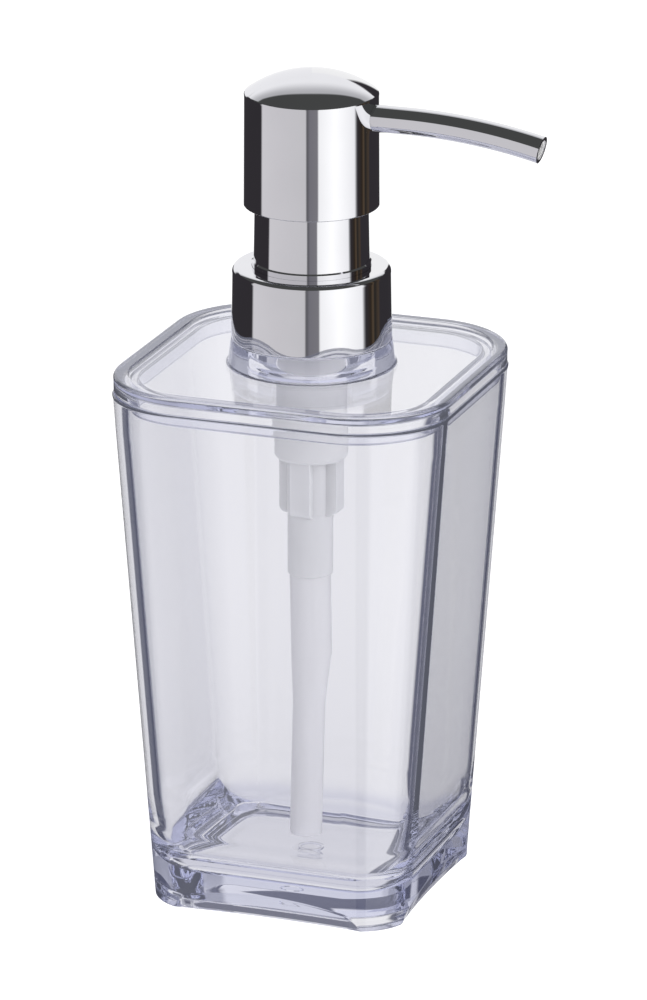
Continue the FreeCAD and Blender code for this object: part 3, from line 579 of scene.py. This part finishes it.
def build_bottle():
    crease = [scoop_height(i) for i in range(COLUMNS)]
    rings, sharp = [], []

    def add(ring, edge=False, only=None):
        rings.append(ring)
        if edge:
            sharp.append((len(rings) - 1, only) if only else len(rings) - 1)

    # underside, from the middle out to the rim it stands on
    base = CORNER_LOW - 5.2 + 2.0

    def disc(r, z):
        return round_ring(r, z, HALF_LOW, CORNER_LOW)

    deep = 2.1
    for r in (0.02, 1.0, 2.1):
        add(disc(r, deep), r == 2.1)
    add(disc(2.1, deep - 0.5), True)
    add(disc(2.6, deep - 0.5), True)
    add(disc(2.6, deep), True)
    add(disc(5.0, deep))
    add(square_ring(14.0, 5.0, deep))
    add(square_ring(21.5, base - 0.5, deep))
    for k in range(1, 6):
        a = math.radians(90.0 * k / 5)
        add(square_ring(21.6 + 0.4 * math.sin(a), base - 0.4 + 0.4 * math.sin(a), deep - 0.4 + 0.4 * math.cos(a)))
    add(square_ring(22.0, base, 1.0))
    add(square_ring(22.0, base, 0.3))
    for k in range(1, 4):
        a = math.radians(90.0 * k / 3)
        add(square_ring(22.3 - 0.3 * math.cos(a), base + 0.3 - 0.3 * math.cos(a), 0.3 - 0.3 * math.sin(a)))
    add(square_ring(22.8, base + 0.8, 0.0))

    # narrow landing, then a small round up into the side or scoop
    edge = 0.45
    foot = [cup_outside(i, 0.0) for i in range(COLUMNS)]

    def pulled(points, by):
        out = []
        for x, y, z in points:
            r = math.hypot(x, y)
            out.append((x * (r - by) / r, y * (r - by) / r, 0.0))
        return out

    add(pulled(foot, 2.2 * edge))
    add(pulled(foot, edge * 1.15))
    for k in range(1, 5):
        a = math.radians(90.0 * k / 4)
        rise, back = edge * (1 - math.cos(a)), edge * (1 - math.sin(a))
        ring = []
        for i in range(COLUMNS):
            x, y, z = cup_outside(i, rise)
            r = math.hypot(x, y)
            ring.append((x * (r - back) / r, y * (r - back) / r, rise))
        add(ring)
    # scoop rows up to the crease, then rows above it
    soft = 0.30
    low = [max(edge * 1.3, c) for c in crease]
    for k in range(1, 9):
        f = k / 9
        add([cup_outside(i, edge + (max(low[i] - soft, edge * 1.15) - edge) * f) for i in range(COLUMNS)])
    for dz in (-soft, -soft * 0.45, 0.0, soft * 0.45, soft):
        ring = []
        for i in range(COLUMNS):
            z = max(low[i] + dz, edge * (1.2 + 0.1 * (dz + soft)))
            x, y, _ = cup_outside(i, z)
            if crease[i] > 1.0:
                # ease the corner line by a hair so that it catches light
                dip = (0.055 if dz == 0.0 else 0.018 if abs(dz) < soft * 0.9 else 0.0)
                r = math.hypot(x, y)
                x, y = x * (r - dip) / r, y * (r - dip) / r
            ring.append((x, y, z))
        add(ring)
    for f in (0.12, 0.3, 0.55, 0.8, 1.0):
        add([cup_outside(i, low[i] + soft + (9.0 - low[i] - soft) * f) for i in range(COLUMNS)])
    for k in range(1, 15):
        z = 9.0 + (CUP_TOP - 0.7 - 9.0) * k / 14
        add([cup_outside(i, z) for i in range(COLUMNS)])
    # rim, rounded on both sides
    lip = 0.5
    h = half_at(CUP_TOP)
    for x, z in arc(h - lip, CUP_TOP - lip, lip, 0, 90, 6):
        add(square_ring(x, CORNER_TOP - (h - x), z))
    add(square_ring(h - lip - 0.1, CORNER_TOP - lip - 0.1, CUP_TOP))
    inner = h - WALL
    add(square_ring(inner + lip + 0.1, CORNER_TOP - WALL + lip + 0.1, CUP_TOP))
    for x, z in arc(inner + lip, CUP_TOP - lip, lip, 90, 180, 6):
        add(square_ring(x, CORNER_TOP - (h - x), z))
    # inside wall, down to the round at the floor
    centre_z = FLOOR + FLOOR_ROUND
    for k in range(0, 15):
        z = CUP_TOP - 0.7 + (centre_z + 1.2 - (CUP_TOP - 0.7)) * k / 14
        add(square_ring(half_at(z) - WALL, corner_at(z) - WALL, z))
    centre_h = half_at(centre_z) - WALL - FLOOR_ROUND * math.sqrt(1 + SLOPE ** 2)
    tilt = math.degrees(math.atan(SLOPE))
    reach = half_at(centre_z) - corner_at(centre_z)
    for x, z in arc(centre_h, centre_z, FLOOR_ROUND, -(-tilt), -90, 26):
        add(square_ring(x, x - reach, z))
    tight = centre_h - reach
    add(square_ring(centre_h - 0.25, tight - 0.2, FLOOR))
    add(square_ring(centre_h - 3.0, max(tight - 1.0, 0.4), FLOOR))
    add(square_ring(8.0, 0.3, FLOOR))
    add(square_ring(0.02, 0.001, FLOOR))
    return ring_mesh("bottle_clear", rings, sharp, capped=True)


bottle = build_bottle()
bottle.data.materials.append(CLEAR)
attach(bottle, "bottle")
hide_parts("bottle_shell")


# ---- lid: slab with a lip, plug skirt, boss and threaded neck
def build_lid():
    half, corner, top, low = 35.0, 19.4, 110.6, CUP_TOP
    rings, sharp = [], []

    def sq(x, z, edge=False):
        rings.append(square_ring(x, corner - (half - x), z))
        if edge:
            sharp.append(len(rings) - 1)

    def ro(r, z, edge=False):
        rings.append(round_ring(r, z))
        if edge:
            sharp.append(len(rings) - 1)

    # outer edge, from the lip's underside up and over
    for x, z in arc(half - 0.6, low + 0.6, 0.6, -90, 0, 7):
        sq(x, z)
    sq(half, low + 0.75)
    sq(half, (low + top) / 2)
    sq(half, top - 0.95)
    for x, z in arc(half - 0.8, top - 0.8, 0.8, 0, 90, 9):
        sq(x, z)
    sq(half - 0.95, top)
    sq(32.35, top)
    for x, z in arc(32.25, top - 0.25, 0.25, 90, 180, 5):
        sq(x, z)
    for x, z in arc(31.75, top - 0.25, 0.25, 0, -90, 5):
        sq(x, z)
    sq(31.6, 110.1)
    sq(29.0, 110.1)
    sq(24.0, 110.1)
    ro(19.0, 110.1)
    ro(17.35, 110.1)
    for x, z in arc(17.2, 110.6, 0.5, -90, -180, 6):
        ro(x, z)
    for k in range(1, 5):
        z = 110.6 + (115.0 - 110.6) * k / 5
        ro(16.7 - 0.6 * (z - 110.6) / 4.6, z)
    for x, z in arc(15.87, 114.97, 0.23, 0, 90, 4):
        ro(x, z)
    ro(15.6, 115.2)
    ro(13.0, 115.2)
    ro(12.5, 115.2, True)
    # neck with one right-hand thread
    pitch, start, rise, depth = 4.23, 118.6, 4.6, 1.1

    def neck(z):
        def radius(a):
            a = a % (2 * math.pi)
            out = 0.0
            for lap in (-1, 0, 1, 2):
                run = a + 2 * math.pi * lap
                centre = start + pitch * run / (2 * math.pi)
                if -0.35 <= run <= rise / pitch * 2 * math.pi + 0.35:
                    fade = min(1.0, (run + 0.35) / 0.35, (rise / pitch * 2 * math.pi + 0.35 - run) / 0.35)
                    d = abs(z - centre)
                    out = max(out, fade * depth * min(1.0, max(0.0, (1.05 - d) / 0.5)))
            return 12.5 + out
        return radius

    for k in range(1, 31):
        z = 115.2 + (124.3 - 115.2) * k / 31
        ro(neck(z), z)
    for x, z in arc(12.3, 124.3, 0.2, 0, 90, 4):
        ro(x, z)
    ro(8.2, 124.5)
    for x, z in arc(8.1, 124.3, 0.2, 90, 180, 4):
        ro(x, z)
    for k in range(1, 6):
        ro(7.9, 124.3 + (108.3 - 124.3) * k / 5)
    for x, z in arc(8.1, 108.3, 0.2, 180, 270, 4):
        ro(x, z)
    ro(8.3, 108.1)
    ro(14.0, 108.1)
    ro(20.0, 108.1)
    sq(26.0, 108.1)
    sq(29.0, 108.1)
    for x, z in arc(29.8, 107.8, 0.3, 90, 0, 5):
        sq(x, z)
    sq(30.1, 106.2)
    sq(30.1, 104.75)
    for x, z in arc(30.35, 104.55, 0.25, 180, 270, 4):
        sq(x, z)
    for x, z in arc(31.45, 104.55, 0.25, -90, 0, 4):
        sq(x, z)
    sq(31.7, 105.0)
    sq(31.7, low - 0.1)
    sq(31.7, low, True)
    sq(31.85, low)
    sq(34.2, low)
    return ring_mesh("lid_clear", rings, sharp, closed=True)


lid = build_lid()
lid.data.materials.append(CLEAR_LID)
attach(lid, "bottle")
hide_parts("lid_cover")


# ---- return spring: round wire, shortened with the stroke
def build_spring(mean=4.9, wire=0.4, low=92.95, high=112.0, turns=6, steps=60, sides=14):
    bm = bmesh.new()
    rings = []
    for i in range(turns * steps + 1):
        t = 2 * math.pi * i / steps
        z = low + (high - low) * i / (turns * steps)
        ring = []
        for k in range(sides):
            a = 2 * math.pi * k / sides
            r = mean + wire * math.cos(a)
            ring.append(bm.verts.new((r * math.cos(t) * MM, r * math.sin(t) * MM, (z + wire * math.sin(a)) * MM)))
        rings.append(ring)
    for a, b in zip(rings, rings[1:]):
        for k in range(sides):
            j = (k + 1) % sides
            f = bm.faces.new((a[k], a[j], b[j], b[k]))
            f.smooth = True
    bm.faces.new(list(reversed(rings[0])))
    bm.faces.new(rings[-1])
    bmesh.ops.recalc_face_normals(bm, faces=bm.faces)
    me = bpy.data.meshes.new("spring_coil")
    bm.to_mesh(me)
    bm.free()
    if me_volume(me) < 0:
        me.flip_normals()
    ob = bpy.data.objects.new("spring_coil", me)
    scene.collection.objects.link(ob)
    return ob


coil = build_spring()
coil.data.materials.append(WIRE)
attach(coil, "pump_body")
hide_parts("return_spring")
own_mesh(coil)
